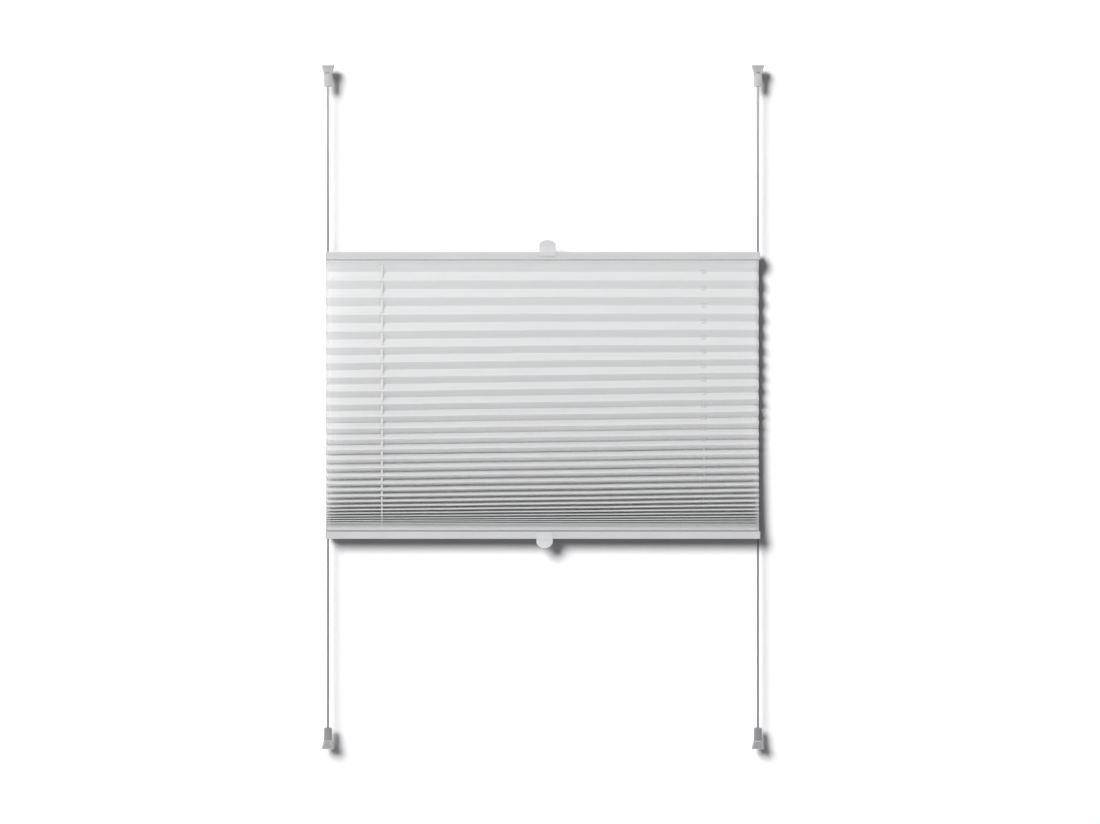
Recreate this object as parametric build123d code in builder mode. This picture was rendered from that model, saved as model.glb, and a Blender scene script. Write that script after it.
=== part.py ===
"""Pleated blind, free-hanging between four cord shoes, with a handle rail above and below the fabric.

Millimetres, +Z up, the room side faces -Y. The origin is midway between the two upper shoes, on the
plane of the reveal that they are screwed to. The two tension cords are doubled strands that cross
inside each rail, which keeps the rails level wherever they are left.
"""
import math
import os

from build123d import *

os.makedirs("parts", exist_ok=True)

# ---- Driving dimensions -------------------------------------------------------------------------
reveal_height = 1260.0      # from the upper mounting plane to the lower one
rail_length = 800.0         # over the end caps
rail_depth = 24.0
rail_height = 13.8
rail_wall = 1.2
rail_outer_round = 1.6      # edges away from the fabric
rail_inner_round = 0.6      # edges beside the mouth
top_rail_z = -344.3         # upper edge of the top rail
bottom_rail_z = -872.6      # lower edge of the bottom rail

cord_x = 396.5              # cords leave the rails here, left and right of the middle
guide_x = 297.0             # cords cross the fabric here
guide_y = 4.0               # how far behind or before the middle they cross it
cord_radius = 0.75
strand_gap = 0.85           # half the distance between the two strands in the rails
passage_radius = 1.0        # the way through caps and guides, round each strand

fabric_width = 798.0
fabric_shift = -1.2         # the fabric sits a little to the left in the rails
pleat_face = 20.0           # from crease to crease
pleat_count = 35
sheet_thickness = 0.4
first_crease_drop = 6.8     # front crease nearest the top rail, below the rail's lower edge
last_crease_rise = 1.2      # back crease nearest the bottom rail, above its upper edge
open_pitch = 31.8           # loosest pleat, just under the top rail
stack_pitch = 1.5           # pleats that lie on each other above the bottom rail
open_share = 33             # pleats over which the pitch falls from one to the other

foot_width = 22.0
foot_depth = 17.0
foot_height = 16.1
foot_plate = 2.4
shoe_radius = 7.35
shoe_height = 22.5
shoe_bore_radius = 6.0
shoe_floor = 4.7
screw_radius = 1.8

handle_width = 30.0
handle_length = 29.4
handle_thickness = 2.0
handle_scoop = 1.6          # how far the finger side is hollowed
handle_lip = 0.9            # half the thickness of the tab's edge
handle_corner = 2.5
clip_length = 6.4
clip_thickness = 1.4

# ---- Sizes that follow --------------------------------------------------------------------------
chamber_floor = 7.0                                   # below the rail's outer edge
cord_level = (rail_wall + chamber_floor) / 2          # middle of the cord chamber
web_thickness = 1.2
slot_ceiling = chamber_floor + web_thickness
lip_thickness = 1.3
inner_half = rail_depth / 2 - rail_wall
slot_half = 8.5                                       # half the mouth that the fabric hangs from
cap_plate = 2.0
extrusion_half = rail_length / 2 - cap_plate
cap_plug = 16.0
cap_edge_round = 0.5
plug_play = 0.3                                       # between a cap's plug and its chamber
notch_length = 5.0
notch_half = 2.5
cut_over = 0.1                                        # cuts run past a face by this much
guide_clearance = 0.15
guide_inner = 1.3                                     # nearer face, leaves room for the other cord to pass
guide_length = 14.0
spout_length = 7.0                                    # a guide's spout, down through the rail's web
spout_width = 5.0
strip_thickness = 1.2
strip_half = inner_half - 0.3
rails_middle = (top_rail_z + bottom_rail_z) / 2
shoes_middle = -reveal_height / 2
shoe_top = -foot_height
shoe_mouth = shoe_top - shoe_height
hook_z = -30.0
hook_radius = 0.6
hook_gap = hook_radius + 0.1 + cord_radius            # strands either side of the hook pin
crimp_gap = 0.95                                      # strands either side of the middle at their crimp
crimp_radius = 2.9
crimp_height = 4.0
middle_bend = 2.5                                     # radius of a cord's turns, between its two strands
crimp_z = -reveal_height - shoe_mouth - shoe_floor    # inner floor of a lower shoe


def mirrored_rail(original):
    """The same piece on the bottom rail, upside down."""
    with BuildPart() as other:
        mirror(original, about=Plane.XY.offset(rails_middle))
    return other.part


def half_turned(original):
    """The same piece on the other side of the blind."""
    with BuildPart() as other:
        with Locations(Rotation(0, 0, 180)):
            add(original)
    return other.part


def keep(part, label):
    """Names a finished piece and writes it."""
    part.label = label
    export_step(part, f"parts/{label}.step")
    return part


# ---- Cords: one long doubled cord on each side --------------------------------------------------
def strand_points(strand):
    """Route of one strand on the left cord, from the top shoe to the bottom one."""
    offset = strand * strand_gap
    top_run = top_rail_z - cord_level + offset
    bottom_run = bottom_rail_z + cord_level - offset
    return [
        (-cord_x + strand * hook_gap, 0, hook_z),
        (-cord_x + offset, 0, top_run),
        (guide_x + offset, guide_y, top_run),
        (guide_x + offset, guide_y, bottom_run),
        (-cord_x + offset, 0, bottom_run),
        (-cord_x + strand * crimp_gap, 0, crimp_z - crimp_height / 2),
    ]


def bend_radii(strand):
    """The inner strand turns tighter than the outer one at each end cap and guide."""
    cap = middle_bend - strand * strand_gap
    guide = middle_bend + strand * strand_gap
    return [cap, guide, guide, cap]


def strand_line(strand):
    """One strand's centre line: straight pulled runs with an arc at each corner."""
    with BuildLine() as line:
        FilletPolyline(*strand_points(strand), radius=bend_radii(strand))
    return line.line


def strand_tube(strand, radius):
    """A round bar along one strand, used for the cord and for the passages that it runs in."""
    path = strand_line(strand)
    with BuildPart() as tube:
        with BuildSketch(Plane(path @ 0, z_dir=path % 0)):
            Circle(radius)
        sweep(path=path)
    return tube.part


with BuildPart() as left_cord:
    add(strand_tube(1, cord_radius))
    add(strand_tube(-1, cord_radius))
    # the bight of the doubled cord, over the hook pin of the top shoe
    with BuildLine() as bight:
        ThreePointArc(
            (-cord_x - hook_gap, 0, hook_z),
            (-cord_x, 0, hook_z + hook_gap),
            (-cord_x + hook_gap, 0, hook_z),
        )
    with BuildSketch(Plane((-cord_x - hook_gap, 0, hook_z), z_dir=(0, 0, 1))):
        Circle(cord_radius)
    sweep(path=bight.line)
keep(left_cord.part, "left_tension_cord")
keep(half_turned(left_cord.part), "right_tension_cord")

passages = [strand_tube(strand, passage_radius) for strand in (1, -1)]


# ---- Rails --------------------------------------------------------------------------------------
with BuildPart() as top_rail:
    # extruded section: cord chamber over a slot for the fabric's retaining strip
    with BuildSketch(Plane.YZ.offset(-extrusion_half)) as section:
        with Locations((0, top_rail_z - rail_height / 2)):
            Rectangle(rail_depth, rail_height)
        fillet(section.vertices().group_by(Axis.Y)[-1], rail_outer_round)
        fillet(section.vertices().group_by(Axis.Y)[0], rail_inner_round)
        with Locations((0, top_rail_z - cord_level)):
            Rectangle(2 * inner_half, chamber_floor - rail_wall, mode=Mode.SUBTRACT)
        with Locations((0, top_rail_z - (slot_ceiling + rail_height - lip_thickness) / 2)):
            Rectangle(2 * inner_half, rail_height - lip_thickness - slot_ceiling, mode=Mode.SUBTRACT)
        with Locations((0, top_rail_z - rail_height)):
            Rectangle(2 * slot_half, 3 * lip_thickness, mode=Mode.SUBTRACT)
    extrude(amount=2 * extrusion_half)
    # notches for the cord at both ends, through the top wall
    with BuildSketch(Plane.XY.offset(top_rail_z)):
        with Locations((extrusion_half, 0), (-extrusion_half, 0)):
            Rectangle(2 * notch_length, 2 * notch_half)
    extrude(amount=-rail_wall - cut_over, mode=Mode.SUBTRACT)
    # holes in the web where the cord guides drop through to the fabric
    with BuildSketch(Plane.XY.offset(top_rail_z - chamber_floor + cut_over)):
        with Locations((guide_x, guide_y), (-guide_x, -guide_y)):
            SlotOverall(spout_length + 0.2, spout_width + 0.2)
    extrude(amount=-web_thickness - 2 * cut_over, mode=Mode.SUBTRACT)
keep(top_rail.part, "top_rail")
keep(mirrored_rail(top_rail.part), "bottom_rail")

# ---- End caps: plate, plug and the eyelet that turns the cord into the rail ---------------------
with BuildPart() as top_left_cap:
    with BuildSketch(Plane.YZ.offset(-extrusion_half)) as plate:
        with Locations((0, top_rail_z - rail_height / 2)):
            Rectangle(rail_depth, rail_height)
        fillet(plate.vertices().group_by(Axis.Y)[-1], rail_outer_round)
        fillet(plate.vertices().group_by(Axis.Y)[0], rail_inner_round)
    extrude(amount=-cap_plate)
    fillet(top_left_cap.faces().sort_by(Axis.X)[0].edges(), cap_edge_round)
    with BuildSketch(Plane.YZ.offset(-extrusion_half)):
        with Locations((0, top_rail_z - cord_level)):
            Rectangle(2 * inner_half - plug_play, chamber_floor - rail_wall - plug_play)
    extrude(amount=cap_plug)
    chamfer(top_left_cap.faces().sort_by(Axis.X)[-1].edges(), 0.8)
    # boss in the rail's notch, flush with its top wall
    with BuildSketch(Plane.XY.offset(top_rail_z)):
        with Locations((-extrusion_half + notch_length / 2 - cut_over, 0)):
            Rectangle(notch_length, 2 * notch_half - 2 * cut_over)
    extrude(amount=-cord_level)
    for passage in passages:
        add(passage, mode=Mode.SUBTRACT)
keep(top_left_cap.part, "top_left_end_cap")
keep(half_turned(top_left_cap.part), "top_right_end_cap")
keep(mirrored_rail(top_left_cap.part), "bottom_left_end_cap")
keep(mirrored_rail(half_turned(top_left_cap.part)), "bottom_right_end_cap")

# ---- Cord guides: turn the cord from the rail down through the fabric ---------------------------
with BuildPart() as top_right_guide:
    guide_outer = inner_half - guide_clearance
    with BuildSketch(Plane.XY.offset(top_rail_z - rail_wall - guide_clearance)):
        with Locations((guide_x, (guide_inner + guide_outer) / 2)):
            RectangleRounded(guide_length, guide_outer - guide_inner, 1.2)
    extrude(amount=-(chamber_floor - rail_wall - 2 * guide_clearance))
    with BuildSketch(Plane.XY.offset(top_rail_z - chamber_floor + 0.2)):
        with Locations((guide_x, guide_y)):
            SlotOverall(spout_length, spout_width)
    extrude(amount=-(rail_height - lip_thickness - strip_thickness - chamber_floor))
    for passage in passages:
        add(passage, mode=Mode.SUBTRACT)
keep(top_right_guide.part, "top_right_cord_guide")
keep(half_turned(top_right_guide.part), "top_left_cord_guide")
keep(mirrored_rail(top_right_guide.part), "bottom_right_cord_guide")
keep(mirrored_rail(half_turned(top_right_guide.part)), "bottom_left_cord_guide")

# ---- Retaining strips: flat bars in the slots, which the fabric's end faces are bonded to -------
strip_z = top_rail_z - rail_height + lip_thickness
with BuildPart() as top_strip:
    with BuildSketch(Plane.XY.offset(strip_z)):
        Rectangle(2 * extrusion_half - 2, 2 * strip_half)
        with Locations((guide_x, guide_y), (-guide_x, -guide_y)):
            SlotOverall(6.0, 4.0, mode=Mode.SUBTRACT)
    extrude(amount=strip_thickness)
keep(top_strip.part, "top_fabric_strip")
keep(mirrored_rail(top_strip.part), "bottom_fabric_strip")

# ---- Pleated fabric -----------------------------------------------------------------------------
fabric_top = strip_z
fabric_bottom = 2 * rails_middle - strip_z
mouth_z = top_rail_z - rail_height
bottom_mouth_z = 2 * rails_middle - mouth_z
first_crease = mouth_z - first_crease_drop
last_crease = bottom_mouth_z + last_crease_rise
tab_front = -7.4            # end faces are folded flat on to the strips, between the slot's lips
tab_back = 7.0
trim_half = extrusion_half - 1.5


def pleat_pitches():
    """Heights of the pleats from the top, wide open first and closing up towards the bottom rail."""
    heights = []
    for pleat in range(pleat_count):
        place = min(pleat / open_share, 1) ** 0.8
        swing = (1 + math.cos(math.pi * place)) / 2
        heights.append(stack_pitch + (open_pitch - stack_pitch) * swing)
    scale = (first_crease - last_crease) / (sum(heights) + stack_pitch / 2)
    return [height * scale for height in heights]


def creases():
    """Front and back creases in turn, as (y, z) points down the middle of the sheet."""
    points = [(tab_back, fabric_top - 0.25), (tab_front, fabric_top - 0.25)]
    level = first_crease
    for height in pleat_pitches() + [stack_pitch]:
        half = math.sqrt(pleat_face ** 2 - (height / 2) ** 2) / 2
        points.append((-half, level))
        points.append((half, level - height / 2))
        level -= height
    points += [(tab_front, fabric_bottom + 0.5), (tab_back, fabric_bottom + 0.5)]
    return points


def sheet_outline(points, thickness):
    """Closed outline of a thin folded sheet: sharp inside each crease, blunt outside it."""
    path = [Vector(y, z) for y, z in points]
    normals = []
    for start, end in zip(path, path[1:]):
        run = (end - start).normalized()
        normals.append(Vector(-run.Y, run.X) * (thickness / 2))
    left, right = [path[0] + normals[0]], [path[0] - normals[0]]
    for corner, before, after in zip(path[1:-1], normals, normals[1:]):
        middle = before + after
        reach = middle * (before.dot(before) / (middle.dot(middle) / 2))
        turn = before.X * after.Y - before.Y * after.X
        blunt, sharp = (left, right) if turn < 0 else (right, left)
        sign = 1 if turn < 0 else -1
        blunt += [corner + before * sign, corner + after * sign]
        sharp.append(corner - reach * sign)
    left.append(path[-1] + normals[-1])
    right.append(path[-1] - normals[-1])
    return [(v.X, v.Y) for v in left + right[::-1]]


with BuildPart() as fabric:
    with BuildSketch(Plane.YZ.offset(fabric_shift - fabric_width / 2)):
        with BuildLine():
            Polyline(*sheet_outline(creases(), sheet_thickness), close=True)
        make_face()
    extrude(amount=fabric_width)
    # punched holes for the cords, down through every pleat
    with BuildSketch(Plane.XY.offset(fabric_top)):
        with Locations((guide_x, guide_y), (-guide_x, -guide_y)):
            SlotOverall(5.0, 3.0)
    extrude(amount=fabric_bottom - fabric_top, mode=Mode.SUBTRACT)
    # ends trimmed where the sheet enters the rails, clear of the end caps
    with BuildSketch(Plane.XY.offset(fabric_top), Plane.XY.offset(bottom_mouth_z + 0.3)):
        with Locations((trim_half + 10, 0), (-trim_half - 10, 0)):
            Rectangle(20, rail_depth)
    extrude(amount=mouth_z - 0.3 - fabric_top, mode=Mode.SUBTRACT)
keep(fabric.part, "pleated_fabric")


# ---- Handles: clip on to the rail's room-side edge, with a hollowed finger tab ------------------
def make_handle(x, edge, out, overlap, rise):
    """A handle at x on a rail edge at height edge, its tab pointing out (+1 up, -1 down)."""
    front = -rail_depth / 2
    outer = front - handle_thickness
    tip = out * (handle_length - overlap)
    foot_edge = -out * overlap
    tip_outer = outer - handle_lip
    tip_inner = outer + handle_lip
    hollow = front + handle_scoop
    section_plane = Plane((x - handle_width / 2, 0, edge), x_dir=(0, 1, 0), z_dir=(1, 0, 0))
    outline_plane = Plane((x, 0, edge), x_dir=(1, 0, 0), z_dir=(0, -1, 0))
    with BuildPart() as handle:
        with BuildSketch(section_plane):
            with BuildLine():
                Line((outer, foot_edge), (outer, 0))
                ThreePointArc((outer, 0), (hollow - handle_thickness, tip / 2), (tip_outer, tip))
                Line((tip_outer, tip), (tip_inner, tip))
                ThreePointArc((tip_inner, tip), (hollow, tip / 2), (front, 0))
                Line((front, 0), (front, foot_edge))
                Line((front, foot_edge), (outer, foot_edge))
            make_face()
            # tongue along the rail's edge that carries the clip
            with Locations((front + clip_length / 2 - 0.2, out * clip_thickness / 2)):
                Rectangle(clip_length, clip_thickness)
        extrude(amount=handle_width)
        with BuildSketch(outline_plane):
            half = handle_width / 2
            shoulder = tip - out * rise
            corner = foot_edge + out * handle_corner
            with BuildLine():
                Polyline(
                    (-half, shoulder),
                    (-half, corner),
                    (-half + handle_corner, foot_edge),
                    (half - handle_corner, foot_edge),
                    (half, corner),
                    (half, shoulder),
                )
                ThreePointArc((half, shoulder), (0, tip), (-half, shoulder))
            make_face()
        extrude(amount=rail_depth, both=True, mode=Mode.INTERSECT)
    return handle.part


keep(make_handle(8.6, top_rail_z, 1, 7.7, 6.0), "top_handle")
keep(make_handle(2.9, bottom_rail_z, -1, 12.4, 9.5), "bottom_handle")

# ---- Shoe feet: flared, ribbed mouldings screwed to the reveal ----------------------------------
neck_radius = shoe_bore_radius - 0.1
neck_length = 7.5
channel_radius = 4.0
window_width = 2.6
window_height = 3.2
window_x = 2.1
flute_depth = 1.6
outer_flute = [(4.2, -0.6), (6.6, -0.6), (3.6, -8.6), (2.2, -8.6)]
inner_flute = [(1.0, -0.6), (2.9, -0.6), (1.0, -7.4)]


def level_plane(z):
    """Level sketching plane on the axis of the left shoes."""
    return Plane((-cord_x, 0, z))


with BuildPart() as foot:
    with BuildSketch(level_plane(0)):
        RectangleRounded(foot_width, foot_depth, 2.0)
    extrude(amount=-foot_plate)
    with BuildSketch(level_plane(-foot_plate)):
        RectangleRounded(foot_width - 0.8, foot_depth - 0.8, 2.0)
    with BuildSketch(level_plane(-foot_height)):
        RectangleRounded(2 * shoe_radius, 2 * shoe_radius, 3.0)
    loft()
    # neck that the shoe pushes on to
    with BuildSketch(level_plane(-foot_height)):
        Circle(neck_radius)
    extrude(amount=-neck_length)
    # driver channel and screw hole
    with BuildSketch(level_plane(-foot_plate)):
        Circle(channel_radius)
    extrude(amount=-foot_height, mode=Mode.SUBTRACT)
    with BuildSketch(level_plane(0)):
        Circle(screw_radius)
    extrude(amount=-foot_plate, mode=Mode.SUBTRACT)
    # windows between the ribs, right through from front to back
    with BuildSketch(Plane((-cord_x, 0, -foot_height + 2.4), x_dir=(1, 0, 0), z_dir=(0, -1, 0))):
        with Locations((window_x, 0), (-window_x, 0)):
            RectangleRounded(window_width, window_height, 0.6)
    extrude(amount=foot_depth, both=True, mode=Mode.SUBTRACT)
    # slanted flutes above the windows, on both faces
    for face in (-1, 1):
        face_middle = (-cord_x, face * foot_depth / 2, -foot_plate)
        face_plane = Plane(face_middle, x_dir=(-face, 0, 0), z_dir=(0, face, 0))
        for flute in (outer_flute, inner_flute):
            for side in (-1, 1):
                with BuildSketch(face_plane):
                    with BuildLine():
                        Polyline(*[(side * x, z) for x, z in flute], close=True)
                    make_face()
                extrude(amount=-flute_depth, mode=Mode.SUBTRACT)

# ---- Cord shoes: barrels that hold the cord ends ------------------------------------------------
pin_plane = Plane((-cord_x, 0, hook_z), x_dir=(1, 0, 0), z_dir=(0, -1, 0))
with BuildPart() as shoe:
    with BuildSketch(level_plane(shoe_top)):
        Circle(shoe_radius)
    extrude(amount=-shoe_height)
    fillet(shoe.faces().sort_by(Axis.Z)[0].edges(), 1.6)
    chamfer(shoe.faces().sort_by(Axis.Z)[-1].edges(), 0.4)
    with BuildSketch(level_plane(shoe_top)):
        Circle(shoe_bore_radius)
    extrude(amount=-(shoe_height - shoe_floor), mode=Mode.SUBTRACT)
    with BuildSketch(level_plane(shoe_mouth)):
        SlotOverall(7.0, 2.4)
    extrude(amount=shoe_floor, mode=Mode.SUBTRACT)
    # cross hole for the hook pin, which stays empty in the two lower shoes
    with BuildSketch(pin_plane):
        Circle(hook_radius)
    extrude(amount=shoe_radius, both=True, mode=Mode.SUBTRACT)

with BuildPart() as hook_pin:
    with BuildSketch(pin_plane):
        Circle(hook_radius)
    extrude(amount=shoe_radius - 0.3, both=True)

# one ferrule for both strands, too wide for the slot in the shoe's end
with BuildPart() as cord_crimp:
    with BuildSketch(level_plane(crimp_z)):
        Circle(crimp_radius)
    extrude(amount=-crimp_height)
    fillet(cord_crimp.edges().filter_by(GeomType.CIRCLE), 0.6)
    add(left_cord.part, mode=Mode.SUBTRACT)


def lowered(original):
    """The same piece on the lower mounting plane, upside down."""
    with BuildPart() as other:
        mirror(original, about=Plane.XY.offset(shoes_middle))
    return other.part


keep(foot.part, "top_left_shoe_foot")
keep(half_turned(foot.part), "top_right_shoe_foot")
keep(lowered(foot.part), "bottom_left_shoe_foot")
keep(lowered(half_turned(foot.part)), "bottom_right_shoe_foot")
keep(shoe.part, "top_left_shoe")
keep(half_turned(shoe.part), "top_right_shoe")
keep(lowered(shoe.part), "bottom_left_shoe")
keep(lowered(half_turned(shoe.part)), "bottom_right_shoe")
keep(hook_pin.part, "top_left_hook_pin")
keep(half_turned(hook_pin.part), "top_right_hook_pin")
keep(cord_crimp.part, "bottom_left_cord_crimp")
keep(half_turned(cord_crimp.part), "bottom_right_cord_crimp")
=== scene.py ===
"""The looks of a pleated blind hung between four cord shoes, in metres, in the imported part's frame."""
import math

import bmesh
import bpy
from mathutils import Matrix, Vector
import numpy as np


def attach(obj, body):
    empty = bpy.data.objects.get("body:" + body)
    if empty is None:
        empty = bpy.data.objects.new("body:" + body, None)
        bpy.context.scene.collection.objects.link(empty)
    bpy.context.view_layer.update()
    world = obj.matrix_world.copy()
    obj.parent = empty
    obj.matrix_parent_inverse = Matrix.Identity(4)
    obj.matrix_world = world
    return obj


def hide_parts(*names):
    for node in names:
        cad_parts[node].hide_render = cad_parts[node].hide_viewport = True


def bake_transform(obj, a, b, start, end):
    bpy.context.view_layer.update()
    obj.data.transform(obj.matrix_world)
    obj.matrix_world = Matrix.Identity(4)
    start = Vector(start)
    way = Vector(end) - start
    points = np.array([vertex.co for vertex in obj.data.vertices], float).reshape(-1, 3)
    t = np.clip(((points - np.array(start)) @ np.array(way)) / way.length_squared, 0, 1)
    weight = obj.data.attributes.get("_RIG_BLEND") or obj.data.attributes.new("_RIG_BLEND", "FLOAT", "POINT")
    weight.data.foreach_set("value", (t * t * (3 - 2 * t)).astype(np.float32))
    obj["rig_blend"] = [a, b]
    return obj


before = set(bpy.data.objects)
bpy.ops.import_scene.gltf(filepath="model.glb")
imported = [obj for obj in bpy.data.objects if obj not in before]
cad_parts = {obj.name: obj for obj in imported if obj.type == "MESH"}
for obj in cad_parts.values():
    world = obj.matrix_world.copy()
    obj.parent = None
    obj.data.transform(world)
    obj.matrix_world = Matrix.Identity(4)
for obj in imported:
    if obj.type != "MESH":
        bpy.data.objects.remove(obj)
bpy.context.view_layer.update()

# ---- Shoe feet ------------------------------------------------------------------------------------
# Four flared, ribbed feet, injection moulded in grey plastic and screwed to the reveal. Each has a
# fine matt grain. The lower pair is painted darker: painted shade for the light falling off towards
# the bottom.


def moulded(name, light, dark, roughness, grain, depth, patch=28.0, gloss=0.4):
    """A satin plastic or coating: two near tones in soft patches over a fine grain. Depth is in metres."""
    material = bpy.data.materials.new(name)
    material.use_nodes = True
    nodes = material.node_tree.nodes
    links = material.node_tree.links
    shader = nodes["Principled BSDF"]
    shader.inputs["Specular IOR Level"].default_value = gloss
    place = nodes.new("ShaderNodeTexCoord")
    patches = nodes.new("ShaderNodeTexNoise")
    patches.inputs["Scale"].default_value = patch
    patches.inputs["Detail"].default_value = 4.0
    tones = nodes.new("ShaderNodeValToRGB")
    tones.color_ramp.elements[0].position = 0.32
    tones.color_ramp.elements[0].color = (*dark, 1)
    tones.color_ramp.elements[1].position = 0.68
    tones.color_ramp.elements[1].color = (*light, 1)
    wear = nodes.new("ShaderNodeMapRange")
    wear.inputs["To Min"].default_value = roughness - 0.06
    wear.inputs["To Max"].default_value = roughness + 0.08
    skin = nodes.new("ShaderNodeTexNoise")
    skin.inputs["Scale"].default_value = grain
    skin.inputs["Detail"].default_value = 2.0
    bump = nodes.new("ShaderNodeBump")
    bump.inputs["Distance"].default_value = depth
    links.new(place.outputs["Object"], patches.inputs["Vector"])
    links.new(place.outputs["Object"], skin.inputs["Vector"])
    links.new(patches.outputs["Fac"], tones.inputs["Fac"])
    links.new(patches.outputs["Fac"], wear.inputs["Value"])
    links.new(wear.outputs["Result"], shader.inputs["Roughness"])
    links.new(tones.outputs["Color"], shader.inputs["Base Color"])
    links.new(skin.outputs["Fac"], bump.inputs["Height"])
    links.new(bump.outputs["Normal"], shader.inputs["Normal"])
    return material


def coat(material, *nodes):
    """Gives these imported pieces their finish."""
    for node in nodes:
        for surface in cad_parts[node].material_slots:
            surface.material = material


upper_foot = moulded("upper_foot_plastic", (0.52, 0.52, 0.52), (0.47, 0.47, 0.475), 0.5, 2200, 0.00002)
# darker tones for the lower feet: painted shade
lower_foot = moulded("lower_foot_plastic", (0.47, 0.465, 0.46), (0.38, 0.38, 0.38), 0.5, 2200, 0.00002)
coat(upper_foot, "top_left_shoe_foot", "top_right_shoe_foot")
coat(lower_foot, "bottom_left_shoe_foot", "bottom_right_shoe_foot")

# ---- Cord shoes -----------------------------------------------------------------------------------
# Plain barrels that push on to the necks of the feet and hide the cords' ends. They are moulded in
# the same grey as the feet, a little glossier. The lower pair is again painted much darker, as painted
# shade towards the bottom.
shoe_grain = {"roughness": 0.38, "grain": 2600, "depth": 0.000012, "gloss": 0.5}
upper_shoe = moulded("upper_shoe_plastic", (0.55, 0.55, 0.55), (0.51, 0.51, 0.51), **shoe_grain)
# much darker tones for the lower shoes: painted shade
lower_shoe = moulded("lower_shoe_plastic", (0.31, 0.305, 0.31), (0.26, 0.26, 0.265), **shoe_grain)
coat(upper_shoe, "top_left_shoe", "top_right_shoe")
coat(lower_shoe, "bottom_left_shoe", "bottom_right_shoe")

# ---- Hook pins ------------------------------------------------------------------------------------
# Short lengths of bright drawn wire across the upper shoes, which the doubled cords hang from. Fine
# drawing lines run along them.


def drawn_out(material, stretch):
    """Stretches a finish's fine grain along a piece, as drawing or extruding it does."""
    tree = material.node_tree
    grain = tree.nodes["Noise Texture.001"]
    place = grain.inputs["Vector"].links[0].from_socket
    mapping = tree.nodes.new("ShaderNodeMapping")
    mapping.inputs["Scale"].default_value = stretch
    tree.links.new(place, mapping.inputs["Vector"])
    tree.links.new(mapping.outputs["Vector"], grain.inputs["Vector"])


pin_wire = moulded("pin_wire", (0.62, 0.62, 0.64), (0.50, 0.50, 0.52), 0.3, 1.0, 0.000004)
pin_wire.node_tree.nodes["Principled BSDF"].inputs["Metallic"].default_value = 1.0
drawn_out(pin_wire, (4000, 60, 4000))
coat(pin_wire, "top_left_hook_pin", "top_right_hook_pin")

# ---- Cord crimps ----------------------------------------------------------------------------------
# One pressed aluminium ferrule round both ends of a cord, resting on the inner floor of a lower shoe.
# The jaws of the press leave it dull and slightly dimpled.
crimp_metal = moulded("crimp_metal", (0.58, 0.58, 0.59), (0.48, 0.48, 0.49), 0.42, 700, 0.00006, patch=300.0)
crimp_metal.node_tree.nodes["Principled BSDF"].inputs["Metallic"].default_value = 1.0
coat(crimp_metal, "bottom_left_cord_crimp", "bottom_right_cord_crimp")

# ---- Tension cords --------------------------------------------------------------------------------
# One long doubled braid on each side. From the hook pin it enters the top rail at the end cap, crosses
# to the far guide, drops through the pleats, crosses back in the bottom rail and ends in the shoe.
cord_x = 0.3965
guide_x = 0.297
guide_y = 0.004
cord_radius = 0.00075
strand_gap = 0.00085
cord_bend = 0.0025
hook_z = -0.030
hook_gap = 0.00145
crimp_gap = 0.00095
crimp_z = -1.2281
upper_run_z = -0.3484
lower_run_z = -0.8685
upper_entry_z = -0.3450
lower_entry_z = -0.8719
upper_exit_z = -0.3560
lower_exit_z = -0.8609
meeting_z = -0.7125


def new_tree(name, sockets):
    """An empty geometry tree with these named inputs, and its input and output nodes."""
    tree = bpy.data.node_groups.new(name, "GeometryNodeTree")
    for label, kind in sockets:
        tree.interface.new_socket(label, in_out="INPUT", socket_type=f"NodeSocket{kind}")
    tree.interface.new_socket("Geometry", in_out="OUTPUT", socket_type="NodeSocketGeometry")
    return tree, tree.nodes.new("NodeGroupInput").outputs, tree.nodes.new("NodeGroupOutput")


def step(tree, kind, *values, **settings):
    """Adds a node, sets what it is told, and feeds its first inputs with links or numbers, in order."""
    node = tree.nodes.new(kind)
    for key, value in settings.items():
        setattr(node, key, value)
    for socket, value in zip([s for s in node.inputs if s.enabled], values):
        if isinstance(value, bpy.types.NodeSocket):
            tree.links.new(value, socket)
        elif value is not None:
            socket.default_value = value
    return node


def finish_tree(tree, shape, material, result):
    """Ends a tree as plain geometry with its finish."""
    real = step(tree, "GeometryNodeRealizeInstances", shape)
    dressed = step(tree, "GeometryNodeSetMaterial", real.outputs[0], None, material)
    tree.links.new(dressed.outputs[0], result.inputs[0])


def grown(name, tree, values, points=(), edges=()):
    """A plain mesh object that a tree makes from its named inputs and, where it needs one, a line."""
    seed = bpy.data.meshes.new(name)
    seed.from_pydata(points, edges, [])
    piece = bpy.data.objects.new(name, seed)
    bpy.context.scene.collection.objects.link(piece)
    modifier = piece.modifiers.new("shape", "NODES")
    modifier.node_group = tree
    for socket in tree.interface.items_tree:
        if socket.in_out == "INPUT" and socket.name in values:
            modifier[socket.identifier] = values[socket.name]
    settle(piece)
    piece.data.name = name
    return piece


def settle(piece):
    """Turns what a piece's modifiers make into its plain mesh."""
    bpy.context.view_layer.update()
    shape = piece.evaluated_get(bpy.context.evaluated_depsgraph_get())
    mesh = bpy.data.meshes.new_from_object(shape)
    piece.modifiers.clear()
    piece.data = mesh


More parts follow.
